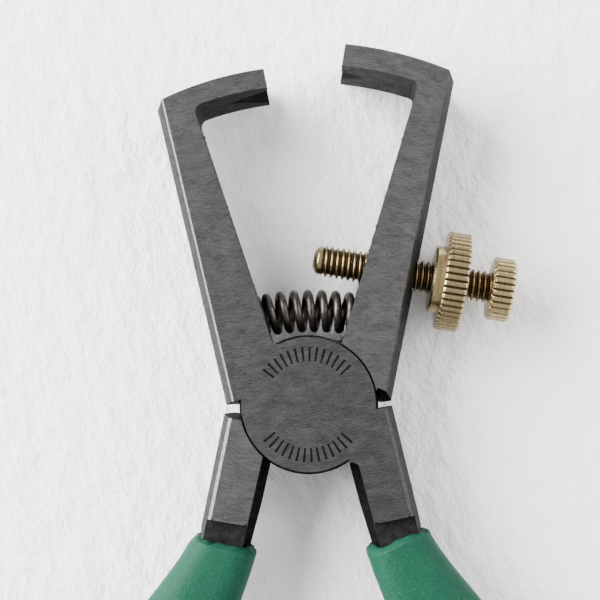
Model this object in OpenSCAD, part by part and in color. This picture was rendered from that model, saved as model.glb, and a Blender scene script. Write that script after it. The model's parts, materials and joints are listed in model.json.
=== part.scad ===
// Adjustable wire stripper: two forged levers with hooked V-notch jaws on one riveted lap joint,
// an opening spring, a brass stop screw with a lock nut, and dip-coated grips.
// The tool lies flat: +Y runs from the rivet to the jaws, +Z is up, and the origin is on the
// rivet's axis at the rear face of the joint. It is drawn spread by its spring.

/* [Joint] */
// Thickness of the joint, arms and jaws
body_t = 10; // [9:0.5:11]
// Radius of the front lever's half-thickness disc
front_disc_r = 8; // [7.8:0.1:8.2]
// Radius of the rear lever's half-thickness disc
rear_disc_r = 8.5; // [8.3:0.1:8.6]
// Gap round the disc where the other lever is hollowed out
disc_gap = 0.22; // [0.15:0.01:0.3]
// Gap between the two halves of the lap joint
lap_gap = 0.06; // [0.04:0.01:0.1]
// Angle each lever stands away from the closed position
spread = 10.3; // [8:0.1:11]
// Height of the front lever's stop faces above and below the rivet
stop_y = 2; // [2:0.05:2.4]
// Height of the rear lever's arm stop above the rivet, at the rear face
rear_arm_stop = 1.65; // [1.65:0.05:2]
// Height of the rear lever's handle stop below the rivet, at the rear face
rear_handle_stop = 2.45; // [2.45:0.05:2.8]
// Slope of the rear lever's arm stop over the whole thickness
stop_draft = 1.3; // [0.4:0.1:1.4]
// Slope of the front lever's arm stop over the whole thickness
front_draft = 0.37; // [0.1:0.01:0.4]
// Angle of the rear lever's arm stop to its front partner, jaws closed
stop_tilt = 15; // [5:1:18]
// Radius where an arm's inner side meets its disc
root_r = 0.7; // [0.4:0.1:0.9]

/* [Rivet] */
// Rivet shank radius
rivet_r = 2.8; // [2.5:0.1:3]
// Radius of the countersunk rivet heads at the ground faces
rivet_head_r = 4.2; // [4:0.1:4.6]
// Depth of the countersink
rivet_head_h = 1.3; // [1:0.1:1.8]
// Running clearance of the front lever on the rivet's shank
rivet_gap = 0.05; // [0.03:0.01:0.08]
// Running clearance round the rivet's countersunk head in the front lever
rivet_head_gap = 0.02; // [0.02:0.01:0.06]

/* [Arms] */
// Half width of an arm's outer side at the joint
arm_out_low = 9.85; // [9.7:0.05:10.2]
// Half width of an arm's outer side at the jaws
arm_out_high = 11.15; // [11:0.05:12]
// Half width of an arm's inner side at the joint
arm_in_low = 2.95; // [2.6:0.05:3.2]
// Half width of an arm's inner side under the jaws
arm_in_high = 6.5; // [6:0.1:6.8]
// Inset of the ground face from the forged outer side
forge_draft = 0.85; // [0.6:0.05:1]
// Width of the bright chamfer on the arms' outer edges
arm_chamfer = 0.22; // [0.1:0.02:0.4]
// Width of the bright chamfer on the handles' outer edges
handle_chamfer = 0.4; // [0.2:0.02:0.5]

/* [Jaws] */
// Outer radius of the front lever's hook about the rivet
jaw_r = 40.85; // [40:0.05:42]
// Thickness of the front lever's hook
front_hook_t = 2.35; // [2:0.05:2.6]
// Thickness of the rear lever's hook
rear_hook_t = 2.7; // [2.3:0.05:3]
// Gap between the hooks where they slide past each other
jaw_gap = 0.2; // [0.1:0.02:0.4]
// Reach of each hook past the closed centre line
hook_reach = 2.62; // [2.2:0.05:3]
// Depth of the V cutting notch
notch_depth = 3; // [2.6:0.1:3.2]
// Height of the V notch at its mouth
notch_mouth = 5.5; // [4.5:0.25:6]
// Angle of the relief behind the cutting edge
notch_relief = 38; // [25:1:42]
// Radius inside the front hook's corner
front_fillet = 1; // [0.6:0.1:1.5]
// Radius inside the rear hook's corner
rear_fillet = 0.7; // [0.5:0.1:1.5]

/* [Stop screw] */
// Height of the screw's axis above the rivet, jaws closed
screw_y = 17.7; // [17.5:0.1:18.4]
// Screw thread crest radius
screw_r = 1.97; // [1.9:0.01:1.98]
// Thread pitch
pitch = 0.7; // [0.7:0.1:0.7]
// Thread depth
thread_d = 0.38; // [0.3:0.02:0.42]
// Length of the screw from its domed tip to the back of the head
screw_len = 21.9; // [21:0.1:23]
// Length of the screw's end inside the head
head_hold = 1.2; // [0.8:0.1:1.6]
// Distance of the domed tip past the closed centre line
tip_past = 2.3; // [2:0.1:3.4]
// Running clearance round the thread crests
thread_gap = 0.05; // [0.03:0.01:0.08]
// Radius of the knurled head
head_r = 3.9; // [3.6:0.1:4.2]
// Width of the knurled head
head_w = 2.7; // [2.4:0.1:3]
// Teeth round the head
head_teeth = 30; // [24:1:36]
// Radius of the lock nut's knurled rim
nut_r = 6.08; // [5.8:0.02:6.2]
// Width of the lock nut's knurled rim
nut_w = 2.75; // [2.4:0.05:3]
// Teeth round the lock nut
nut_teeth = 46; // [40:1:52]
// Radius of the lock nut's plain hub
hub_r = 4.15; // [3.8:0.05:4.4]
// Length of the lock nut's plain hub
hub_w = 1.25; // [1:0.05:1.5]
// Gap between the arm's outer side and the lock nut
nut_out = 1.95; // [1.9:0.05:2.3]

/* [Spring] */
// Outer radius of the coil
coil_r = 2.64; // [2.5:0.02:2.7]
// Wire diameter
wire_d = 1; // [0.9:0.05:1]
// Turns of wire, ends included
turns = 8.2; // [8:0.1:8.4]
// Radius of the arc that the relaxed spring follows
spring_arc = 33; // [30:1:36]
// Height of the coil's middle above the rivet
spring_y = 11.45; // [11.3:0.05:11.6]
// Pitch of the free coils
coil_pitch = 1.61; // [1.5:0.01:1.65]
// Pitch of the closed coils at each end
end_pitch = 1.08; // [1.02:0.02:1.2]
// Free coils, the rest being closed ends
free_turns = 6.4; // [6:0.2:6.6]
// Radius of the sockets the spring sits in
socket_r = 2.95; // [2.9:0.05:3]
// Depth of the sockets
socket_d = 2; // [1.9:0.1:2.3]

/* [Handles] */
// Distance of the collar from the rivet
collar_y = 17.8; // [17.6:0.1:18.6]
// End of the ground face above the collar
face_end = 15.3; // [14.6:0.1:15.6]
// Radius of the ground face's corners above the neck
face_corner_r = 0.6; // [0.4:0.1:0.8]
// Thickness of the tang under the coating
tang_t = 7.8; // [7:0.2:8.2]
// Thickness of the coating at the sides of the tang
coat_side = 1; // [0.8:0.1:1.4]
// Thickness of the coating over the faces of the tang
coat_face = 1.3; // [1:0.1:1.4]
// Distance of the handle ends from the rivet
handle_end = 116.2; // [112:0.2:120]
// Half distance between the handle ends, jaws closed
handle_gap = 19.4; // [18:0.2:21]
// Grip width at the collar
grip_w0 = 8.1; // [7.8:0.1:8.6]
// Grip width at the palm
grip_w1 = 13.4; // [12.4:0.2:14]
// Grip width near the end
grip_w2 = 11.8; // [11:0.2:12.4]

/* [Hidden] */
$fn = 96;
mid = body_t / 2;
big = 60;
steel = [0.55, 0.56, 0.58];
brass = [0.75, 0.62, 0.38];
green = [0.1, 0.42, 0.29];
rear_jaw_in = jaw_r + jaw_gap;
rear_jaw_out = rear_jaw_in + rear_hook_t;
arm_base = 9.3;
arm_top = 37;
// Sides of the ground face where it ends above the neck.
neck_in = 4.96;
neck_out = 9.2;

// ---- lever plans, in the closed position: arm on -X, handle on +X --------------------------
// Half width of the arm's inner side at height y.
function arm_in(y) = arm_in_low + (arm_in_high - arm_in_low) * (y - arm_base) / (arm_top - arm_base);
// Half width of the arm's outer side at height y.
function arm_out(y) = arm_out_low + (arm_out_high - arm_out_low) * (y - 2) / (arm_top - 2);

module arm_plan(r_in, r_out, stop, fillet) {
    difference() {
        intersection() {
            union() {
                polygon([[-arm_out(stop), stop], [-arm_out(r_out + 2), r_out + 2],
                    [-arm_in(r_out + 2), r_out + 2], [-arm_in(arm_base), arm_base], [-2.6, 7], [-6, stop]]);
                hook_plan(r_in, r_out, fillet);
            }
            circle(r_out, $fn = 240);
        }
        // The outer corner of the hook, broken by a small facet.
        translate([-arm_out(r_out) + 0.35, r_out - 1.2]) rotate(38) translate([-2, 0]) square([4, 3]);
    }
}

// The hook is bounded inside by an arc about the pivot, and starts in the middle of the arm.
module hook_plan(r_in, r_out, fillet) {
    start = (arm_in(r_in) + arm_out(r_in)) / 2;
    difference() {
        translate([-start, 30]) square([start + hook_reach, r_out - 28]);
        circle(r_in, $fn = 240);
    }
    hook_corner(r_in, fillet);
}

// Fills the corner between the arm and its hook, leaving a round.
module hook_corner(r_in, f) {
    lean = atan((arm_in_high - arm_in_low) / (arm_top - arm_base));
    // Centre of the round: f inside the arm's inner side and f inside the hook's arc.
    y = sqrt(pow(r_in - f, 2) - pow(arm_in(r_in - f) - f, 2));
    x = f / cos(lean) - arm_in(y);
    difference() {
        translate([x - f - 0.6, y]) square([f + 0.6, f + 1]);
        circle_at(x, y, f);
    }
}

module circle_at(x, y, r) { translate([x, y]) circle(r, $fn = 48); }

// Middle line, direction and width of a handle's tang: one cubic curve from collar to end.
p0 = [7.3, -collar_y];
p1 = [8.7, -30.5];
p2 = [31, -62];
p3 = [handle_gap, -handle_end];
function path(t) = pow(1 - t, 3) * p0 + 3 * t * pow(1 - t, 2) * p1 + 3 * t * t * (1 - t) * p2
    + t * t * t * p3;
function slope(t) = 3 * pow(1 - t, 2) * (p1 - p0) + 6 * t * (1 - t) * (p2 - p1) + 3 * t * t * (p3 - p2);
function side(t) = let (d = slope(t)) [-d[1], d[0]] / norm(d);
function ease(a, b, s) = let (u = max(0, min(1, s))) a + (b - a) * u * u * (3 - 2 * u);
function grip_w(t) = t < 0.5 ? ease(grip_w0, grip_w1, t / 0.42) : ease(grip_w1, grip_w2, (t - 0.5) / 0.45);
// The tang stops short of the closed end of the coating.
stations = 30;
tang_stop = 27;
function at(i) = pow(i / stations, 1.15);
function tang_w(t) = grip_w(t) - 2 * coat_side;

module tang_plan() {
    polygon(concat(
        [for (i = [0 : tang_stop]) path(at(i)) + side(at(i)) * tang_w(at(i)) / 2],
        [for (i = [tang_stop : -1 : 0]) path(at(i)) - side(at(i)) * tang_w(at(i)) / 2]));
}

module handle_root_plan(stop) {
    q = path(0) - side(0) * tang_w(0) / 2;
    r = path(0) + side(0) * tang_w(0) / 2;
    polygon([[6, -stop], [9.95, -stop], [10.5, -face_end - 1.4], r, q,
        [3.72, -12.7], [3.45, -7.7], [3.3, -6]]);
}

// A drafted forged side: cuts the corner above the middle plane along the edge from p to q.
// The solid lies to the left of the line from p to q.
module draft_cut(p, q, inset, chamfer) {
    d = q - p;
    translate([p[0], p[1], 0]) rotate([0, 0, atan2(d[1], d[0])]) translate([-3, 0, 0])
        rotate([90, 0, 90]) linear_extrude(norm(d) + 6)
            polygon([[-1, mid + 0.3], [-0.02, mid + 0.3], [inset, body_t - chamfer * 1.1],
                [inset + chamfer, body_t], [inset + chamfer, body_t + 1], [-1, body_t + 1]]);
}

// The same cut on both faces.
module draft_cuts(p, q, inset, chamfer) {
    draft_cut(p, q, inset, chamfer);
    translate([0, 0, body_t]) mirror([0, 0, 1]) draft_cut(p, q, inset, chamfer);
}

// V notch in the hook's end. The cutting edge is on radius r, and the notch deepens towards dir.
module v_notch(r, dir) {
    tip = hook_reach + 1;
    depth = notch_depth + 1;
    half = notch_mouth / 2 * depth / notch_depth;
    translate([hook_reach - notch_depth, r, mid]) rotate([0, 0, dir * notch_relief])
        rotate([90, 0, 0]) linear_extrude(16, center = true)
            polygon([[0, 0], [depth * 2, half * 2], [depth * 2, -half * 2]]);
}

// One lever, closed: its disc is the upper half of the joint.
module lever(r_in, r_out, stops, fillet, cut_r, cut_dir, disc_r, hollow_r, bore_r, sunk_gap) {
    difference() {
        union() {
            linear_extrude(body_t) { arm_plan(r_in, r_out, stops[0], fillet); handle_root_plan(stops[1]); }
            translate([0, 0, (body_t - tang_t) / 2]) linear_extrude(tang_t) tang_plan();
            translate([0, 0, mid]) cylinder(r = disc_r, h = mid, $fn = 128);
            translate([0, 0, mid]) linear_extrude(mid) root_fillet(disc_r);
        }
        // The other lever's disc turns in this hollow.
        translate([0, 0, -1]) cylinder(r = hollow_r, h = mid + 1 + lap_gap / 2, $fn = 128);
        // Drafted outer side of the arm, and both sides of the handle.
        draft_cuts([-arm_out(r_out), r_out], [-arm_out(2), 2], forge_draft + 0.15, arm_chamfer);
        draft_cuts([10.5, -face_end - 1.4], [9.95, -2], forge_draft, handle_chamfer);
        difference() {
            draft_cuts([3.72 + 0.35, -collar_y - 1], [3.3, -6], 0.9, 0.2);
            translate([0, 0, mid]) cylinder(r = rear_disc_r + 0.01, h = mid + 2, $fn = 128);
            translate([0, 0, mid]) linear_extrude(mid + 2) shoulder();
            translate([0, -6, -2]) cube([12, 12, body_t + 4]);
        }
        // Recessed black neck between the ground face and the collar, on both faces.
        for (z = [0, body_t]) translate([0, -collar_y - 3.2, z]) neck_cut();
        v_notch(cut_r, cut_dir);
        // Seat of the rivet.
        translate([0, 0, -1]) cylinder(r = bore_r, h = body_t + 2);
        translate([0, 0, body_t - rivet_head_h])
            cylinder(r1 = bore_r, r2 = rivet_head_r + sunk_gap, h = rivet_head_h + 0.001);
        translate([0, 0, body_t]) cylinder(r = rivet_head_r + sunk_gap, h = 1);
        spring_socket();
    }
}

// Rounds the corner where an arm's inner side meets the disc.
module root_fillet(r) {
    x = root_r - arm_in_low + 0.14;
    y = sqrt(pow(r + root_r, 2) - x * x);
    left = x - root_r - 0.3;
    difference() {
        translate([left, r - 1]) square([x * r / (r + root_r) - left, y - r + 1]);
        circle_at(x, y, root_r);
    }
}

// Keeps a round at the top of the handle's drafted inner side.
module shoulder() {
    difference() {
        translate([3, -9]) square([2.5, 3]);
        circle_at(3.35, -8.95, 1.28);
    }
}

module neck_cut() {
    h = (body_t - tang_t) / 2;
    top = collar_y + 3.2 - face_end;
    translate([0, 0, -h]) linear_extrude(2 * h) {
        translate([2, 0]) square([16, top]);
        face_corner(neck_in, top, 1);
        face_corner(neck_out, top, -1);
    }
}

// Rounds a corner of the ground face where it ends above the neck.
module face_corner(x, y, dir) {
    r = face_corner_r;
    difference() {
        translate([dir > 0 ? x : x - r, y - 0.1]) square([r, r + 0.1]);
        circle_at(x + dir * (r - 0.03), y + r - 0.03, r);
    }
}

module spring_socket() {
    a = atan((arm_in_high - arm_in_low) / (arm_top - arm_base));
    y = 11.9;
    translate([-arm_in(y), y, mid]) rotate([0, 0, a]) rotate([0, -90, 0])
        translate([0, 0, -1.5]) cylinder(r = socket_r, h = socket_d + 1.5, $fn = 64);
}

// Cuts a stop face that slants through the thickness: at x, it is at y on the upper face and at
// y + rise on the lower one. The cut lies on the dir side and spares the lever's disc of radius r.
module stop_cut(x, y, rise, tilt, dir, r) {
    deep = 1.2;
    difference() {
        translate([x, y, 0]) rotate([0, 0, tilt]) translate([x > 0 ? -1.6 : -3, 0, 0])
            rotate([90, 0, 90]) linear_extrude(4.6) polygon([[dir * deep, -1], [rise, -1], [rise, 0],
                [0, body_t], [0, body_t + 1], [dir * deep, body_t + 1]]);
        translate([0, 0, mid + lap_gap / 2]) cylinder(r = r + 0.02, h = body_t, $fn = 128);
    }
}

module lever_front() {
    color(steel) rotate([0, 0, spread]) difference() {
        lever(jaw_r - front_hook_t, jaw_r, [stop_y - 0.4, stop_y + 0.1], front_fillet, jaw_r, -1,
            front_disc_r, rear_disc_r + disc_gap, rivet_r + rivet_gap, rivet_head_gap);
        stop_cut(-9, stop_y + 0.12, -front_draft, 0, -1, front_disc_r);
    }
}

module lever_rear() {
    color(steel) rotate([0, 0, -spread]) translate([0, 0, body_t]) rotate([0, 180, 0])
    difference() {
        lever(rear_jaw_in, rear_jaw_out, [rear_arm_stop - 0.6, rear_handle_stop], rear_fillet,
            rear_jaw_in, 1, rear_disc_r, front_disc_r + disc_gap, rivet_r, 0);
        stop_cut(-9, rear_arm_stop, stop_draft, stop_tilt, -1, rear_disc_r);
        stop_cut(9, -rear_handle_stop, -stop_draft / 2, 0, 1, rear_disc_r);
        // Tapped hole for the stop screw, drawn as a plain bore on the crests.
        translate([-14, screw_y, mid]) rotate([0, 90, 0])
            cylinder(r = screw_r + thread_gap, h = 14 - arm_in(screw_y) + 2, $fn = 64);
    }
}

module pivot_rivet() {
    color(steel) rotate_extrude() polygon([[0, 0], [rivet_head_r, 0], [rivet_r, rivet_head_h],
        [rivet_r, body_t - rivet_head_h], [rivet_head_r, body_t], [0, body_t]]);
}

// ---- opening spring: a round wire swept along a helix that follows an arc -------------------
// Distance along the arc after n turns from the middle.
function coil_along(n) = let (m = abs(n), k = free_turns / 2)
    sign(n) * (m < k ? m * coil_pitch : k * coil_pitch + (m - k) * end_pitch);
function coil_at(n) = let (
    b = coil_along(n) / spring_arc * 180 / PI,
    m = spring_arc + (coil_r - wire_d / 2) * cos(360 * n),
    z = mid + (coil_r - wire_d / 2) * sin(360 * n)
) [0.1 + m * sin(b), spring_y - spring_arc + m * cos(b), z];

module opening_spring() {
    n = round(turns * 20);
    k = 8;
    points = [for (i = [0 : n]) let (
        s = i / 20 - turns / 2,
        c = coil_at(s),
        d0 = coil_at(s + 0.001) - coil_at(s - 0.001),
        d = d0 / norm(d0),
        bend = coil_along(s) / spring_arc * 180 / PI,
        e0 = cross(d, [cos(bend), -sin(bend), 0]),
        e = e0 / norm(e0),
        f = cross(d, e)
    ) for (j = [0 : k - 1]) c + wire_d / 2 * (e * cos(360 * j / k) + f * sin(360 * j / k))];
    faces = concat(
        [[for (j = [0 : k - 1]) j]],
        [for (i = [0 : n - 1]) for (j = [0 : k - 1])
            [i * k + j, (i + 1) * k + j, (i + 1) * k + (j + 1) % k, i * k + (j + 1) % k]],
        [[for (j = [k - 1 : -1 : 0]) n * k + j]]);
    color([0.2, 0.2, 0.2]) polyhedron(points, faces, convexity = 10);
}

// ---- stop screw: everything on its axis is drawn along +X from the tip ----------------------
module on_screw_axis() {
    rotate([0, 0, -spread]) translate([-tip_past, screw_y, mid]) rotate([0, 90, 0]) children();
}

// Grooves at the thread's pitch stand in for the helix.
module screw_profile() {
    grooves = floor((screw_len - 1.1) / pitch);
    polygon(concat(
        [[0, 0], [0.9, 0.08], [1.4, 0.3], [screw_r - thread_d, 0.62]],
        [for (i = [0 : grooves - 1]) for (q = [[screw_r - thread_d, 0.12], [screw_r, 0.3],
            [screw_r, 0.4], [screw_r - thread_d, 0.58]]) [q[0], 0.7 + i * pitch + q[1]]],
        [[screw_r - thread_d, screw_len + head_hold], [0, screw_len + head_hold]]));
}

module knurled(r, w, teeth, tooth, chamfer) {
    intersection() {
        linear_extrude(w) polygon([for (i = [0 : teeth * 2 - 1])
            (r - (i % 2) * tooth) * [cos(180 * i / teeth), sin(180 * i / teeth)]]);
        rotate_extrude(convexity = 4) polygon([[0, 0], [r - chamfer, 0], [r + 0.01, chamfer],
            [r + 0.01, w - chamfer], [r - chamfer, w], [0, w]]);
    }
}

module adjusting_screw() {
    color(brass) on_screw_axis() rotate_extrude() screw_profile();
}

// The head sits on the screw's plain end, in a blind bore.
module screw_head() {
    color(brass) on_screw_axis() translate([0, 0, screw_len]) difference() {
        knurled(head_r, head_w, head_teeth, 0.3, 0.35);
        translate([0, 0, -1]) cylinder(r = screw_r - thread_d + thread_gap, h = 1 + head_hold + thread_gap);
    }
}

module lock_nut() {
    color(brass) on_screw_axis() translate([0, 0, tip_past + arm_out(screw_y) + nut_out]) difference() {
        union() {
            cylinder(r1 = hub_r - 0.15, r2 = hub_r, h = 0.15);
            translate([0, 0, 0.15]) cylinder(r = hub_r, h = hub_w);
            translate([0, 0, hub_w]) knurled(nut_r, nut_w, nut_teeth, 0.32, 0.3);
        }
        translate([0, 0, -1]) cylinder(r = screw_r + thread_gap, h = hub_w + nut_w + 2, $fn = 64);
    }
}

// ---- grips: a rounded section swept down the handle, hollow where the tang is ---------------
ring = 32;
function outer_pt(j, w, h) = let (a = 360 * j / ring, c = cos(a), s = sin(a))
    [w / 2 * sign(c) * pow(abs(c), 0.62), h / 2 * sign(s) * pow(abs(s), 0.62)];
function inner_pt(j, w, h) = let (a = 360 * j / ring, c = cos(a), s = sin(a), m = max(abs(c), abs(s)))
    [w / 2 * c / m, h / 2 * s / m];
function put(t, q) = let (p = path(t) + side(t) * q[0]) [p[0], p[1], mid + q[1]];
function tip_scale(t) = t < 0.95 ? 1 : sqrt(max(0.04, 1 - pow((t - 0.95) / 0.0505, 2)));

module grip() {
    h = tang_t + 2 * coat_face;
    inner_n = tang_stop + 1;
    extra = 6;
    ts = concat([for (i = [0 : stations - 2]) at(i)],
        [for (i = [1 : extra]) at(stations - 2) + (1 - at(stations - 2)) * sin(90 * i / extra)]);
    n = len(ts);
    points = concat(
        [for (t = ts) for (j = [0 : ring - 1]) put(t, outer_pt(j, grip_w(t), h) * tip_scale(t))],
        [for (i = [0 : inner_n - 1]) for (j = [0 : ring - 1])
            put(at(i), inner_pt(j, tang_w(at(i)), tang_t))],
        [put(1, [0, 0]), put(at(tang_stop), [0, 0])]);
    o = n * ring;
    end = o + inner_n * ring;
    function nx(j) = (j + 1) % ring;
    faces = concat(
        [for (i = [0 : n - 2]) for (j = [0 : ring - 1])
            [i * ring + j, (i + 1) * ring + j, (i + 1) * ring + nx(j), i * ring + nx(j)]],
        [for (i = [0 : inner_n - 2]) for (j = [0 : ring - 1])
            [o + i * ring + nx(j), o + (i + 1) * ring + nx(j), o + (i + 1) * ring + j, o + i * ring + j]],
        [for (j = [0 : ring - 1]) [o + j, j, nx(j), o + nx(j)]],
        [for (j = [0 : ring - 1]) [end, (n - 1) * ring + nx(j), (n - 1) * ring + j]],
        [for (j = [0 : ring - 1])
            [end + 1, o + (inner_n - 1) * ring + j, o + (inner_n - 1) * ring + nx(j)]]);
    color(green) polyhedron(points, faces, convexity = 6);
}

module grip_right() { rotate([0, 0, spread]) grip(); }

module grip_left() {
    rotate([0, 0, -spread]) translate([0, 0, body_t]) rotate([0, 180, 0]) grip();
}

lever_front();
lever_rear();
pivot_rivet();
opening_spring();
adjusting_screw();
screw_head();
lock_nut();
grip_left();
grip_right();
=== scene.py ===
"""Adjustable wire-stripping pliers: the visual model on the CAD frame.

Lengths are in metres in the part's own frame: the rivet's axis is Z, the jaws point along +Y, and the
stop screw's head is on +X. Each lever was ground and coated with the jaws closed, so its pieces are
described in the closed position and turned to rest by CLOSED.
"""

import json
import math

import bmesh
import bpy
from mathutils import Matrix, Vector, noise


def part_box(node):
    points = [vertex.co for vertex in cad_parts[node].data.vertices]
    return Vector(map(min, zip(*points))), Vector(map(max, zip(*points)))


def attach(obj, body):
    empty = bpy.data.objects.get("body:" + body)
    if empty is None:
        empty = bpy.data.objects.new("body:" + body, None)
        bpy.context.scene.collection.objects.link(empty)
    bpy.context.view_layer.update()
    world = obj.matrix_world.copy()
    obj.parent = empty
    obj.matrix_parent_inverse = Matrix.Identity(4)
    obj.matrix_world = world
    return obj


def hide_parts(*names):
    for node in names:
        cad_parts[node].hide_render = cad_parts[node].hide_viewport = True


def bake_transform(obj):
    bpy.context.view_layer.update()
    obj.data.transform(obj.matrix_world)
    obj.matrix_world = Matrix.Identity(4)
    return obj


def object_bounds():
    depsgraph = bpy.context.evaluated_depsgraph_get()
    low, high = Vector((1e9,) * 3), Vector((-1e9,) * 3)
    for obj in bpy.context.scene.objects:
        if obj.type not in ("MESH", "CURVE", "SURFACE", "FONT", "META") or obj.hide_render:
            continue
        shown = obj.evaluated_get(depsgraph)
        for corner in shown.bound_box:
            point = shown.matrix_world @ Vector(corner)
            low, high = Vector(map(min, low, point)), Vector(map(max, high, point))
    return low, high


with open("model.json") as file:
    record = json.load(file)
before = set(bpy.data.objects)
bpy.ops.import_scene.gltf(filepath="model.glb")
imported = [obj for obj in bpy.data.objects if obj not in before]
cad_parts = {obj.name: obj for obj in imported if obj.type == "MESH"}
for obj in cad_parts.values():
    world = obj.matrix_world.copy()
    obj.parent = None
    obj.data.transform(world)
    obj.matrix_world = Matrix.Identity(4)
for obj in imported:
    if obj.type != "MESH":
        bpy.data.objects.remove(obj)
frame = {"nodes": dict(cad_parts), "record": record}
cad_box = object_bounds()

MM = 0.001
UP = Vector((0, 0, 1))
joints = {j["name"]: j for j in frame["record"]["behaviour"]["joints"]}

# ---- places taken from the frame ------------------------------------------------------------
SCREW_AXIS = Vector(joints["screw_travel"]["axis"])
SCREW_POINT = Vector(joints["screw_turn"]["pos_m"])
SPREAD = math.atan2(-SCREW_AXIS.y, SCREW_AXIS.x)
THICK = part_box("lever_front")[1].z
MID = THICK / 2
CLOSED = {
    "front_lever": Matrix.Rotation(SPREAD, 4, "Z"),
    "rear_lever": Matrix.Rotation(-SPREAD, 4, "Z")
    @ Matrix.Translation((0, 0, THICK))
    @ Matrix.Rotation(math.pi, 4, "Y"),
}
FLOOR_Z = cad_box[0][2]


def span(node):
    """Where a turned CAD node starts and ends along the screw's axis, and its largest radius."""
    offsets = [v.co - SCREW_POINT for v in frame["nodes"][node].data.vertices]
    along = [o.dot(SCREW_AXIS) for o in offsets]
    radius = max((o - SCREW_AXIS * a).length for o, a in zip(offsets, along))
    return min(along), max(along), radius


# ---- mesh helpers ---------------------------------------------------------------------------
def piece(name, mesh, node, body, materials):
    """A mesh that stands for a CAD node and rides on its body."""
    obj = bpy.data.objects.new(name, mesh)
    bpy.context.scene.collection.objects.link(obj)
    for material in materials:
        mesh.materials.append(material)
    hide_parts(node)
    if body:
        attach(obj, body)
    return obj


def smooth(mesh, degrees):
    """Smooth shading that breaks at edges sharper than an angle."""
    for polygon in mesh.polygons:
        polygon.use_smooth = True
    mesh.set_sharp_from_angle(angle=math.radians(degrees))


def tube(name, rings, first=None, last=None):
    """A closed skin over rings of points, each end closed by a fan round its own point, if given."""
    points = [p for ring in rings for p in ring]
    count = len(rings[0])
    faces = []
    for i in range(len(rings) - 1):
        for j in range(count):
            k = (j + 1) % count
            faces.append((i * count + j, i * count + k, (i + 1) * count + k, (i + 1) * count + j))
    for point, row, turn in ((first, 0, 1), (last, len(rings) - 1, -1)):
        if point is None:
            continue
        points.append(point)
        for j in range(count):
            a, b = row * count + j, row * count + (j + 1) % count
            faces.append((len(points) - 1, b, a) if turn > 0 else (len(points) - 1, a, b))
    mesh = bpy.data.meshes.new(name)
    mesh.from_pydata(points, [], faces)
    mesh.validate()
    return mesh


def paint(mesh, name, values):
    """A value on each vertex that a material reads."""
    attribute = mesh.attributes.new(name, "FLOAT", "POINT")
    attribute.data.foreach_set("value", values)


def blend_value(a, b, t):
    """From a to b as t goes from 0 to 1, level at both ends."""
    t = max(0.0, min(1.0, t))
    return a + (b - a) * t * t * (3 - 2 * t)


# ---- material helpers -----------------------------------------------------------------------
class Nodes:
    """A small writer of material node trees."""

    def __init__(self, name):
        self.material = bpy.data.materials.new(name)
        self.material.use_nodes = True
        self.tree = self.material.node_tree
        self.shader = self.tree.nodes["Principled BSDF"]

    def add(self, kind, settings=None, **inputs):
        node = self.tree.nodes.new("ShaderNode" + kind)
        for key, value in (settings or {}).items():
            setattr(node, key, value)
        for key, value in inputs.items():
            self.put(node, key, value)
        return node

    def put(self, node, key, value):
        socket = node.inputs[int(key[1:])] if key[0] == "i" and key[1:].isdigit() else node.inputs[key]
        if isinstance(value, bpy.types.NodeSocket):
            self.tree.links.new(value, socket)
        else:
            socket.default_value = value

    def set(self, **values):
        for key, value in values.items():
            self.put(self.shader, key.replace("_", " "), value)

    def place(self, turn=0.0, stretch=(1, 1, 1)):
        """Object coordinates turned about Z, then stretched, in millimetres."""
        where = self.add("TexCoord").outputs["Object"]
        turned = self.add("Mapping", Vector=where, Rotation=(0, 0, -turn), Scale=(1000, 1000, 1000))
        return self.add("Mapping", Vector=turned.outputs[0], Scale=stretch).outputs[0]

    def noise(self, where, scale, detail=3.0, rough=0.55):
        settings = {"Scale": scale, "Detail": detail, "Roughness": rough}
        return self.add("TexNoise", Vector=where, **settings).outputs["Fac"]

    def spread(self, value, low, high, new_low=0.0, new_high=1.0):
        """The value's range low..high brought to new_low..new_high, and kept inside it."""
        node = self.add("MapRange", i0=value, i1=low, i2=high, i3=new_low, i4=new_high)
        return node.outputs[0]

    def math(self, kind, a, b=0.0, c=0.0):
        return self.add("Math", {"operation": kind}, i0=a, i1=b, i2=c).outputs[0]

    def mix(self, amount, a, b):
        node = self.add("Mix", {"data_type": "RGBA"}, i0=amount, i6=a, i7=b)
        return node.outputs[2]

    def value(self, name):
        return self.add("Attribute", {"attribute_name": name}).outputs["Fac"]

    def bump(self, height, distance, strength=1.0, normal=None):
        inputs = {"Height": height, "Distance": distance, "Strength": strength}
        if normal:
            inputs["Normal"] = normal
        return self.add("Bump", **inputs).outputs[0]


def grey(level, warm=0.0):
    return (level * (1 + warm), level, level * (1 - warm), 1)


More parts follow.
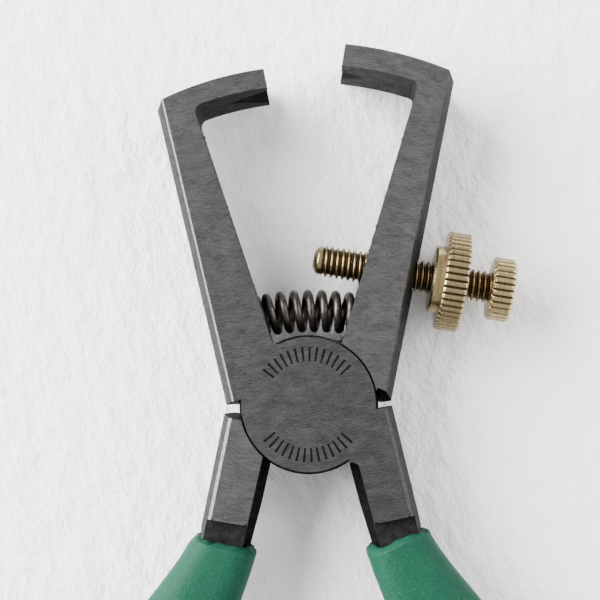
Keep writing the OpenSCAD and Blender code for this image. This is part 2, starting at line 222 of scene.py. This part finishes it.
# ---- materials ------------------------------------------------------------------------------
def ground_steel(name, turn, level, etched=False):
    """Surface-ground steel: fine crisp lines, faint blotches, a few nicks and longer scratches."""
    n = Nodes(name)
    where = n.place(turn)
    lines = n.noise(n.place(turn, (0.5, 7.5, 0.5)), 1.0, 3.0, 0.7)
    hairs = n.noise(n.place(turn, (0.9, 20.0, 0.9)), 1.0, 2.0, 0.6)
    speck = n.noise(n.place(turn, (2.6, 9.0, 2.6)), 1.0, 3.0, 0.7)
    blotch = n.noise(n.place(turn, (0.4, 0.8, 0.4)), 1.0, 4.0, 0.6)
    tone = n.math("ADD", n.spread(lines, 0.3, 0.7, -0.45, 0.45), n.spread(hairs, 0.3, 0.7, -0.6, 0.6))
    tone = n.math("ADD", tone, n.spread(speck, 0.3, 0.7, -0.5, 0.5))
    tone = n.math("ADD", tone, n.spread(blotch, 0.3, 0.7, -0.2, 0.2))
    colour = n.mix(n.spread(tone, -0.9, 0.9), grey(level * 0.6, -0.004), grey(level * 1.5, -0.004))
    scratch = n.spread(n.noise(n.place(turn + 0.5, (0.12, 5.0, 0.3)), 1.0, 1.0, 0.4), 0.73, 0.76)
    nick = n.spread(n.noise(where, 1.7, 2.0, 0.5), 0.735, 0.76)
    mark = n.math("MAXIMUM", n.math("MULTIPLY", scratch, 0.15), n.math("MULTIPLY", nick, 0.5))
    colour = n.mix(mark, colour, grey(level * 2.2))
    rough = n.spread(n.math("ADD", hairs, blotch), 0.75, 1.25, 0.36, 0.48)
    height = n.math("ADD", n.math("MULTIPLY", lines, 0.7), n.math("MULTIPLY", hairs, 0.5))
    if etched:
        dark = etching(n)
        colour = n.mix(n.math("MULTIPLY", dark, 0.96), colour, grey(level * 0.1))
        rough = n.math("ADD", rough, n.math("MULTIPLY", dark, 0.15))
    n.set(Base_Color=colour, Roughness=rough, Metallic=1.0, Normal=n.bump(height, 0.00004, 0.8))
    return n.material


def etching(n):
    """Two arcs of plain tick marks about the rivet, as a mask."""
    arc_middle, arc_half = 1.57, 0.95
    arc_radius, tick_half = 6.0 * MM, 0.85 * MM
    where = n.add("TexCoord").outputs["Object"]
    split = n.add("SeparateXYZ", Vector=where)
    x, y, z = split.outputs
    radius = n.math("SQRT", n.math("ADD", n.math("MULTIPLY", x, x), n.math("MULTIPLY", y, y)))
    angle = n.math("ARCTAN2", y, x)
    tick = n.math("PINGPONG", n.math("MULTIPLY", angle, 15.0), 1.0)
    dark = n.spread(tick, 0.62, 0.72)
    ring = n.math("COMPARE", radius, arc_radius, tick_half)
    from_middle = n.math("ABSOLUTE", n.math("SUBTRACT", n.math("ABSOLUTE", angle), arc_middle))
    sector = n.math("COMPARE", from_middle, 0.0, arc_half)
    face = n.math("GREATER_THAN", z, THICK * 0.98)
    return n.math("MULTIPLY", n.math("MULTIPLY", dark, ring), n.math("MULTIPLY", sector, face))


def edge_steel(name, level):
    """Chamfers and rubbed edges, bright or dull by level. The bright copy is painted highlight on
    chamfers toward the left-hand lamps, the dull copy painted shade on those to the right.
    """
    n = Nodes(name)
    where = n.place()
    worn = n.noise(where, 2.2, 5.0, 0.6)
    colour = n.mix(n.spread(worn, 0.35, 0.65), grey(level * 0.6), grey(level * 1.3, 0.005))
    height = n.noise(where, 6.0, 4.0, 0.6)
    n.set(Base_Color=colour, Metallic=1.0, Roughness=n.spread(worn, 0.3, 0.7, 0.42, 0.3),
          Normal=n.bump(height, 0.00003, 0.35))
    return n.material


def forged_steel(name, level, pits, sheen=0.2):
    """Black-finished forging: fine grain, small pits and lighter rubbed patches.

    level scales the colour, pits is how strongly the pits show, and sheen scales the
    reflection, most of all at grazing angles.
    """
    n = Nodes(name)
    where = n.place()
    grain = n.noise(where, 7.0, 6.0, 0.7)
    patch = n.noise(where, 0.9, 4.0, 0.6)
    pit = n.spread(n.noise(where, 1.25, 3.0, 0.6), 0.585, 0.63)
    tone = n.spread(n.math("ADD", grain, patch), 0.75, 1.25)
    colour = n.mix(tone, grey(level * 0.45), grey(level * 1.7, 0.01))
    colour = n.mix(n.math("MULTIPLY", pit, pits), colour, grey(level * 0.12))
    height = n.math("SUBTRACT", n.math("MULTIPLY", grain, 0.6), n.math("MULTIPLY", pit, pits))
    n.set(Base_Color=colour, Metallic=0.6, Roughness=n.spread(grain, 0.3, 0.7, 0.45, 0.65),
          Normal=n.bump(height, 0.00008, 0.8))
    n.put(n.shader, "Specular IOR Level", sheen / 2)
    n.put(n.shader, "Specular Tint", grey(sheen))
    return n.material


def brass(name, level, grooves):
    """Machined brass, oxidised in its grooves. Vertices carry the groove's depth.

    level scales the bright metal and grooves is how far the oxide covers the deepest places.
    """
    n = Nodes(name)
    where = n.place(-SPREAD)
    grime = n.noise(where, 1.6, 5.0, 0.65)
    rings = n.noise(n.place(-SPREAD, (9.0, 0.25, 0.25)), 1.0, 3.0, 0.6)
    pale = (0.33 * level, 0.262 * level, 0.145 * level, 1)
    deep = (0.19 * level, 0.143 * level, 0.072 * level, 1)
    bright = n.mix(n.spread(rings, 0.3, 0.7), deep, pale)
    bright = n.mix(n.spread(grime, 0.45, 0.75, 0.0, 0.5), bright, (0.10, 0.07, 0.033, 1))
    dark = n.mix(n.spread(grime, 0.3, 0.7), (0.013, 0.008, 0.005, 1), (0.085, 0.046, 0.020, 1))
    uneven = n.math("MULTIPLY", n.math("SUBTRACT", grime, 0.5), 0.5)
    depth = n.spread(n.math("ADD", n.value("groove"), uneven), 0.25, 0.8, 0.0, grooves)
    rough = n.math("ADD", n.spread(grime, 0.3, 0.7, 0.2, 0.34), n.math("MULTIPLY", depth, 0.2))
    height = n.math("ADD", rings, n.noise(where, 9.0, 3.0, 0.6))
    n.set(Base_Color=n.mix(depth, bright, dark), Metallic=1.0, Roughness=rough,
          Normal=n.bump(height, 0.00002, 0.5))
    return n.material


def oiled_wire(name):
    """Hard-drawn spring wire, black with a brown oil film and fine draw lines."""
    n = Nodes(name)
    where = n.place()
    film = n.noise(where, 1.4, 4.0, 0.6)
    fleck = n.noise(where, 11.0, 4.0, 0.7)
    colour = n.mix(n.spread(film, 0.35, 0.7), (0.02, 0.0185, 0.018, 1), (0.08, 0.067, 0.056, 1))
    n.set(Base_Color=colour, Metallic=0.9, Roughness=n.spread(fleck, 0.3, 0.7, 0.26, 0.44),
          Normal=n.bump(fleck, 0.00003, 0.45))
    return n.material


def dip_coating(name):
    """Matte vinyl dip coating: fine speckle and a soft orange-peel surface."""
    n = Nodes(name)
    where = n.place()
    speck = n.noise(where, 5.5, 3.0, 0.6)
    cells = n.add("TexVoronoi", {"feature": "F1"}, Vector=where, Scale=2.6)
    dots = n.spread(cells.outputs["Distance"], 0.1, 0.34, 1.0, 0.0)
    cloud = n.noise(where, 0.25, 3.0, 0.5)
    painted_lip_shade = n.value("painted_lip_shade")
    colour = n.mix(n.spread(speck, 0.3, 0.7), (0.001, 0.026, 0.0135, 1), (0.003, 0.058, 0.031, 1))
    colour = n.mix(n.math("MULTIPLY", dots, 0.4), colour, (0.013, 0.105, 0.062, 1))
    colour = n.mix(n.spread(cloud, 0.35, 0.65, 0.0, 0.35), colour, (0.001, 0.029, 0.016, 1))
    # Painted shade along the collar's rolled fold, darkest at its edge.
    colour = n.mix(n.math("MULTIPLY", painted_lip_shade, 0.6), colour, (0.001, 0.017, 0.009, 1))
    peel = n.noise(where, 1.5, 3.0, 0.5)
    height = n.math("ADD", n.math("MULTIPLY", peel, 0.8), n.math("MULTIPLY", speck, 0.35))
    n.set(Base_Color=colour, Roughness=n.spread(speck, 0.3, 0.7, 0.55, 0.72),
          Normal=n.bump(height, 0.00010, 0.55))
    n.put(n.shader, "Specular IOR Level", 0.13)
    return n.material


def paper(name):
    """Pale studio paper, very slightly uneven."""
    n = Nodes(name)
    where = n.place()
    fibre = n.noise(n.place(0.3, (0.34, 0.22, 0.3)), 1.0, 8.0, 0.62)
    cloud = n.noise(where, 0.02, 2.0, 0.5)
    tone = n.spread(n.math("ADD", fibre, cloud), 0.7, 1.3)
    colour = n.mix(tone, grey(0.89), grey(0.94))
    n.set(Base_Color=colour, Roughness=0.9, Normal=n.bump(fibre, 0.0010, 0.9))
    return n.material


# ---- levers ---------------------------------------------------------------------------------
GROUND, LIT_EDGE, SHADED_EDGE, SIDE, BLACK, ROUGH, SHADED_RECESS = range(7)
FACE_END = -15.3 * MM
HANDLE_TOP = -2.0 * MM
ARM_INSIDE = 8 * MM
HOOK = 36 * MM
STOPS = 3.4 * MM


def finish_or_painted_light(centre, normal, closed):
    """Which of a lever's finishes, or painted-highlight and painted-shade copies of them, a face has,
    judged in the closed position.
    """
    to_closed = closed.inverted()
    at, out = to_closed @ centre, (to_closed.to_3x3() @ normal).normalized()
    flat = abs(out.z) > 0.98
    surface = at.z > THICK - 0.05 * MM or at.z < 0.05 * MM
    # Painted shade: the hook's V-notch facets and the stop faces take black forging darkened further, so
    # they stay dark where the lamps reach them.
    if at.y > HOOK and at.x > -2 * MM and 0.2 < abs(out.z) < 0.95:
        return SHADED_RECESS
    if abs(at.y) < STOPS and abs(out.y) > 0.8:
        return SHADED_RECESS
    if at.y < FACE_END - 0.02 * MM:
        return BLACK
    if flat and surface:
        return GROUND
    if 0.45 < abs(out.z) < 0.98:
        if abs(at.x) < 7 * MM:
            return BLACK
        # Chamfers on the tool's left half take the painted-highlight edge steel, those on the right half
        # the painted-shade copy.
        return LIT_EDGE if centre.x < 0 else SHADED_EDGE
    if at.y < HANDLE_TOP:
        return SIDE if at.x > 8.5 * MM else BLACK
    if at.y > HOOK or (at.x > -8.5 * MM and at.y > ARM_INSIDE and not flat):
        return ROUGH
    return SIDE


def lever(node, body, name, materials):
    """The CAD lever with its edges slightly rounded and each face in its own finish, some of them
    painted-light copies.
    """
    closed = CLOSED[body]
    bm = bmesh.new()
    bm.from_mesh(frame["nodes"][node].data)
    bmesh.ops.remove_doubles(bm, verts=bm.verts, dist=0.002 * MM)
    bmesh.ops.dissolve_limit(bm, angle_limit=math.radians(0.5), verts=bm.verts, edges=bm.edges)
    bm.normal_update()
    sharp = [e for e in bm.edges if e.is_manifold and e.calc_face_angle(0) > math.radians(28)]
    for face in bm.faces:
        face.material_index = finish_or_painted_light(face.calc_center_median(), face.normal, closed)
    bmesh.ops.bevel(bm, geom=sharp, offset=0.06 * MM, segments=2, profile=0.5, affect="EDGES",
                    clamp_overlap=True, material=-1)
    mesh = bpy.data.meshes.new(name)
    bm.to_mesh(mesh)
    bm.free()
    smooth(mesh, 32)
    obj = piece(name, mesh, node, body, materials)
    obj.modifiers.new("even_shading", "WEIGHTED_NORMAL").keep_sharp = True
    return obj


# ---- opening spring -------------------------------------------------------------------------
COIL_R = 2.14 * MM
WIRE_R = 0.5 * MM
ARC_R = 33 * MM
ARC_Y = 11.45 * MM
TURNS = 8.2
FREE_TURNS = 6.4
COIL_PITCH = 1.61 * MM
END_PITCH = 1.08 * MM


def coil_point(turn):
    """Middle of the wire, turn counted from the spring's middle."""
    half = FREE_TURNS / 2
    size = abs(turn)
    along = size * COIL_PITCH if size < half else half * COIL_PITCH + (size - half) * END_PITCH
    bend = math.copysign(along, turn) / ARC_R
    reach = ARC_R + COIL_R * math.cos(math.tau * turn)
    return Vector((0.1 * MM + reach * math.sin(bend), ARC_Y - ARC_R + reach * math.cos(bend),
                   MID + COIL_R * math.sin(math.tau * turn)))


def spring(material):
    steps, sides = 40, 20
    count = round(TURNS * steps)
    rings, ends = [], []
    for i in range(count + 1):
        turn = i / steps - TURNS / 2
        centre = coil_point(turn)
        ahead = (coil_point(turn + 0.002) - coil_point(turn - 0.002)).normalized()
        side = ahead.cross(Vector((1, 0, 0))).normalized()
        up = ahead.cross(side)
        ring = [centre + WIRE_R * (side * math.cos(a) + up * math.sin(a))
                for a in (math.tau * j / sides for j in range(sides))]
        rings.append(ring)
        ends.append(centre)
    mesh = tube("opening_spring_wire", rings, ends[0], ends[-1])
    smooth(mesh, 50)
    obj = piece("opening_spring_wire", mesh, "opening_spring", None, [material])
    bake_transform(obj)
    return obj


# ---- stop screw, head and nut ---------------------------------------------------------------
PITCH = 0.7 * MM
ACROSS = SCREW_AXIS.cross(UP)


def on_axis(along, radius, angle):
    """A point about the screw's axis, along measured as span() does."""
    return (SCREW_POINT + SCREW_AXIS * along
            + radius * (ACROSS * math.cos(angle) + UP * math.sin(angle)))


def turned(name, stations, sides, radius_at, groove_at, node, body, material, sharp=35):
    """A turned piece whose radius may vary round it, its ends closed flat."""
    angles = [math.tau * j / sides for j in range(sides)]
    rings = [[on_axis(s, radius_at(s, a), a) for a in angles] for s in stations]
    mesh = tube(name, rings, on_axis(stations[0], 0, 0), on_axis(stations[-1], 0, 0))
    values = [groove_at(s, a) for s in stations for a in angles] + [0.0, 0.0]
    paint(mesh, "groove", values)
    smooth(mesh, sharp)
    return piece(name, mesh, node, body, [material])


def screw(material):
    """The screw's domed tip and its real helix, in place of the CAD's grooves."""
    start, end, crest = span("adjusting_screw")
    depth, tip = 0.42 * MM, 1.15 * MM

    def groove(s, a):
        phase = ((s - start) / PITCH + a / math.tau) % 1
        height = abs(phase - 0.5) * 2
        fade = blend_value(0, 1, (s - start - 0.75 * MM) / (0.5 * MM))
        return fade * blend_value(0, 1, (height - 0.08) / 0.8)

    def radius(s, a):
        t = (s - start) / tip
        dome = crest - 0.24 * MM
        if t < 0.62:
            dome *= 0.5 + 0.5 * math.sin(math.pi / 2 * t / 0.62)
        if t < 1:
            return dome
        return min(crest, crest - depth * groove(s, a), dome + (t - 1) * 0.9 * MM)

    count = round((end - start) / (PITCH / 14))
    stations = [start + (end - start) * i / count for i in range(count + 1)]
    stations[1:1] = [start + 0.02 * MM * i for i in (0.25, 1, 2)]
    return turned("stop_screw_thread", stations, 56, radius, groove, "adjusting_screw",
                  "stop_screw", material, 50)


def tooth(angle, teeth):
    """0 on a tooth's crest, 1 at the bottom of the groove beside it."""
    off = abs((angle * teeth / math.tau) % 1 - 0.5) * 2
    return 0.16 * off * off + blend_value(0, 0.84, (off - 0.5) / 0.42)


def knurled(name, node, body, material, teeth, depth, chamfer, rim, hub=None, dish=0.0):
    """A straight-knurled rim cut back by a chamfer at each face, with a plain hub if given."""
    start, end, radius = span(node)
    rim_start = end - rim

    def cone(s):
        return radius - chamfer + min(s - rim_start, end - s, chamfer)

    def groove(s, a):
        if s < rim_start:
            return 0.0
        cut = radius - depth * tooth(a, teeth)
        return tooth(a, teeth) if cut < cone(s) + 0.02 * MM else 0.0

    def radius_at(s, a):
        if hub and s < rim_start:
            return hub - max(0.0, 0.22 * MM - (s - start))
        return min(radius - depth * tooth(a, teeth), cone(s))

    edge = 0.0005 * MM
    stations = [rim_start, *(rim_start + chamfer * i / 4 for i in (1, 2, 3, 4))]
    stations += [rim_start + (rim * i) / 8 for i in range(2, 7)]
    stations += [end - chamfer * i / 4 for i in (4, 3, 2, 1, 0)]
    if hub:
        stations = [start, start + 0.11 * MM, start + 0.22 * MM,
                    (start + rim_start) / 2, rim_start - edge] + stations
    return turned(name, sorted(stations), teeth * 10, radius_at, groove, node, body, material)


# ---- grips ----------------------------------------------------------------------------------
COLLAR_Y = 17.8
HANDLE_PATH = [
    Vector((7.3, -COLLAR_Y)),
    Vector((8.7, -30.5)),
    Vector((31, -62)),
    Vector((19.4, -116.2)),
]
GRIP_WIDTHS = (8.1, 13.34, 11.76)
GRIP_HEIGHT = 10.4


def path_at(t):
    a, b, c, d = HANDLE_PATH
    return a * (1 - t) ** 3 + b * (3 * t * (1 - t) ** 2) + c * (3 * t * t * (1 - t)) + d * t ** 3


def path_side(t):
    ahead = path_at(min(1, t + 0.001)) - path_at(max(0, t - 0.001))
    return Vector((-ahead.y, ahead.x)).normalized()


def grip_width(t):
    first, middle, last = GRIP_WIDTHS
    if t < 0.5:
        return blend_value(first, middle, t / 0.42)
    return blend_value(middle, last, (t - 0.5) / 0.45)


def grip(name, node, body, material, seed, tuck):
    """Dip coating round a handle: a rolled, uneven collar, then a swelling rounded bar.

    tuck narrows the collar on the handle's outer side.
    """
    sides, length, roll = 120, 150, 8
    rings, painted_lip_shades = [], []

    def ragged(x, z):
        place = Vector((x * 0.34, z * 0.34, seed))
        return noise.noise(place) * 0.55 + noise.noise(place * 2.7) * 0.22

    def ring_at(t, shrink, shift, scale=1.0):
        centre, side = path_at(t), path_side(t)
        ahead = Vector((side.y, -side.x))
        near = max(0.0, 1 - t / 0.045)
        ring = []
        for j in range(sides):
            a = math.tau * j / sides
            c, s = math.cos(a), math.sin(a)
            x = (grip_width(t) / 2 - shrink) * math.copysign(abs(c) ** 0.62, c) * scale
            z = (GRIP_HEIGHT / 2 - shrink) * math.copysign(abs(s) ** 0.62, s) * scale
            wave = ragged(x, z)
            x -= tuck * near * max(0.0, c)
            swell = 1 + 0.02 * wave * near
            at = centre + side * (x * swell) + ahead * (shift + wave * near)
            ring.append(CLOSED[body] @ Vector((at.x * MM, at.y * MM, MID + z * swell * MM)))
        return ring

    for i in range(roll):
        turn = math.pi / 2 * i / roll
        rings.append(ring_at(0, 0.95 - 0.6 * math.sin(turn), 0.6 * (1 - math.cos(turn)) - 0.1))
        # Painted shade on the roll, strongest at the collar's outer edge.
        painted_lip_shades += [1 - i / roll] * sides
    for i in range(length + 1):
        t = 0.006 + 0.994 * (i / length) ** 1.25
        scale = 1 if t < 0.95 else math.sqrt(max(0.0, 1 - ((t - 0.95) / 0.0502) ** 2))
        shrink = 0.35 * (1 - i / 4) ** 2 if i < 4 else 0.0
        rings.append(ring_at(t, shrink, 0, max(scale, 0.03)))
        painted_lip_shades += [0.0] * sides
    end = path_at(1)
    last = CLOSED[body] @ Vector((end.x * MM, end.y * MM, MID))
    mesh = tube(name, rings, None, last)
    paint(mesh, "painted_lip_shade", painted_lip_shades + [0.0])
    smooth(mesh, 60)
    return piece(name, mesh, node, body, [material])


# ---- burrs left by grinding -----------------------------------------------------------------
def burr(bm, closed, start, along, out, length, width, lift):
    """A thin torn sliver on an edge, curling away from it."""
    steps, thick = 6, 0.035 * MM
    rows = []
    for i in range(steps + 1):
        t = i / steps
        reach = width * math.sin(math.pi * min(1.0, t * 1.4)) * (1 - 0.5 * t) + 0.02 * MM
        rise = lift * t * t
        base = start + along * (length * t)
        rows.append([bm.verts.new(closed @ p) for p in (
            base - out * 0.03 * MM, base + out * reach + UP * rise,
            base + out * reach + UP * (rise - thick), base - out * 0.03 * MM - UP * thick)])
    for a, b in zip(rows, rows[1:]):
        for j in range(4):
            k = (j + 1) % 4
            bm.faces.new((a[j], a[k], b[k], b[j]))
    bm.faces.new(rows[0][::-1])
    bm.faces.new(rows[-1])


def burrs(name, body, face_z, spots, material):
    """Slivers along an arm's inner edge. spots are (height, length, width, lift) in millimetres."""
    bm = bmesh.new()
    closed = CLOSED[body]
    low, high = Vector((-2.95, 9.3, 0)), Vector((-6.5, 37, 0))
    along = (high - low).normalized()
    out = Vector((along.y, -along.x, 0))
    for height, length, width, lift in spots:
        start = low + along * ((height - low.y) / along.y)
        start.z = face_z / MM
        burr(bm, closed, start * MM, along, out, length * MM, width * MM, lift * MM)
    bmesh.ops.recalc_face_normals(bm, faces=bm.faces)
    mesh = bpy.data.meshes.new(name)
    bm.to_mesh(mesh)
    bm.free()
    mesh.materials.append(material)
    obj = bpy.data.objects.new(name, mesh)
    bpy.context.scene.collection.objects.link(obj)
    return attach(obj, body)


# ---- the object -----------------------------------------------------------------------------
# Edge steel in two copies: painted highlight for left-side chamfers, painted shade for right-side ones.
lit_edge_steel = edge_steel("edge_steel_painted_highlight", 0.12)
shaded_edge_steel = edge_steel("edge_steel_painted_shade", 0.035)
forged_sides = forged_steel("forged_side", 0.022, 0.3, 0.3)
# In the order LIT_EDGE to SHADED_RECESS. Each lever puts its own ground steel before them.
shared_finishes_and_painted_light = [
    lit_edge_steel,
    shaded_edge_steel,
    forged_sides,
    forged_steel("black_forging", 0.011, 0.3, 0.15),
    forged_steel("machined_inside", 0.028, 0.95, 0.35),
    # Black forging darkened as painted shade for the V-notch and stop faces.
    forged_steel("black_painted_shade", 0.008, 0.3, 0.1),
]
# The front lever's ground steel is a darker copy of the rear's: painted shade and painted highlight for
# how the lamps catch each lever's grinding lines.
front_etched_shaded = ground_steel("ground_steel_front_shaded", SPREAD, 0.0475, etched=True)
rear_ground_lit = ground_steel("ground_steel_rear_lit", -SPREAD, 0.067)

lever("lever_front", "front_lever", "front_lever_forging", [front_etched_shaded, *shared_finishes_and_painted_light])
lever("lever_rear", "rear_lever", "rear_lever_forging", [rear_ground_lit, *shared_finishes_and_painted_light])
# The flush rivet takes the front lever's darker painted-shade level.
rivet = frame["nodes"]["pivot_rivet"]
rivet.data.materials.clear()
rivet.data.materials.append(ground_steel("ground_rivet", SPREAD, 0.047))
spring(oiled_wire("oiled_spring_wire"))
screw(brass("brass_thread", 1.1, 0.95))
head_start, head_end, _ = span("screw_head")
knurled("knob", "screw_head", "screw_knob", brass("brass_knob", 1.8, 0.75), 30, 0.3 * MM, 0.3 * MM,
        head_end - head_start)
knurled("knurled_lock_nut", "lock_nut", "stop_nut", brass("brass_nut", 1.3, 0.8), 46, 0.3 * MM, 0.2 * MM,
        2.75 * MM, hub=4.15 * MM)
coating = dip_coating("green_dip_coating")
grip("left_dip_grip", "grip_left", "rear_lever", coating, 3.0, 0.55)
grip("right_dip_grip", "grip_right", "front_lever", coating, 8.0, 0.1)
torn = []
for i in range(29):
    sliver = 0.35 + 0.3 * abs(noise.noise(Vector((i * 1.7, 2, 0)))) * 3
    width = 0.06 + 0.12 * abs(noise.noise(Vector((i * 0.9, 7, 0)))) * 3
    torn.append((9.6 + 0.9 * i, sliver, width, 0.0))
front_torn = torn + [(33.6, 0.9, 0.3, 0.15), (20.3, 0.4, 0.16, 0.1)]
rear_torn = torn[::2] + [(19.0, 0.8, 0.16, 0.0), (22.2, 0.5, 0.1, 0.0)]
burrs("front_arm_burrs", "front_lever", THICK, front_torn, forged_sides)
# The rear arm's burrs also take the painted-highlight edge steel.
burrs("rear_arm_burrs", "rear_lever", 0.035 * MM, rear_torn, lit_edge_steel)

# ---- floor, camera and light ----------------------------------------------------------------
floor_mesh = bpy.data.meshes.new("paper_floor")
HALF_FLOOR = 1.5
corners = [(HALF_FLOOR * x, HALF_FLOOR * y, 0) for x, y in ((-1, -1), (1, -1), (1, 1), (-1, 1))]
floor_mesh.from_pydata(corners, [], [(0, 1, 2, 3)])
floor = bpy.data.objects.new("paper_floor", floor_mesh)
floor.location.z = FLOOR_Z
bpy.context.scene.collection.objects.link(floor)
floor_mesh.materials.append(paper("studio_paper"))

camera = bpy.data.objects.new("camera", bpy.data.cameras.new("camera"))
bpy.context.scene.collection.objects.link(camera)
camera.data.lens = 83.16
camera.data.sensor_width = 36
camera.data.clip_start = 0.01
camera.data.clip_end = 20
right = Vector((0.9998, -0.0175, -0.0101)).normalized()
back = Vector((0.0088, -0.0736, 0.9973)).normalized()
up = back.cross(right).normalized()
right = up.cross(back).normalized()
facing = Matrix((right, up, back)).transposed().to_4x4()
camera.matrix_world = Matrix.Translation((0.66 * MM, 0.28 * MM, 175 * MM)) @ facing
bpy.context.scene.camera = camera


def softbox(name, place, size, power, aim=(0, 0, 0)):
    light = bpy.data.objects.new(name, bpy.data.lights.new(name, "AREA"))
    light.data.shape = "RECTANGLE"
    light.data.size, light.data.size_y = size
    light.data.energy = power
    light.location = place
    light.rotation_euler = (Vector(place) - Vector(aim)).to_track_quat("Z", "Y").to_euler()
    bpy.context.scene.collection.objects.link(light)


softbox("key_upper_left", (-0.56, 0.24, 0.38), (0.75, 0.6), 35.0)
softbox("fill_right", (0.58, 0.14, 0.36), (0.6, 0.5), 7.5)
softbox("low_left", (-0.6, -0.05, 0.12), (0.5, 0.2), 6.0)

world = bpy.data.worlds.new("studio")
bpy.context.scene.world = world
world.use_nodes = True
background = world.node_tree.nodes["Background"]
background.inputs["Color"].default_value = (1.0, 0.995, 0.985, 1)
background.inputs["Strength"].default_value = 1.0
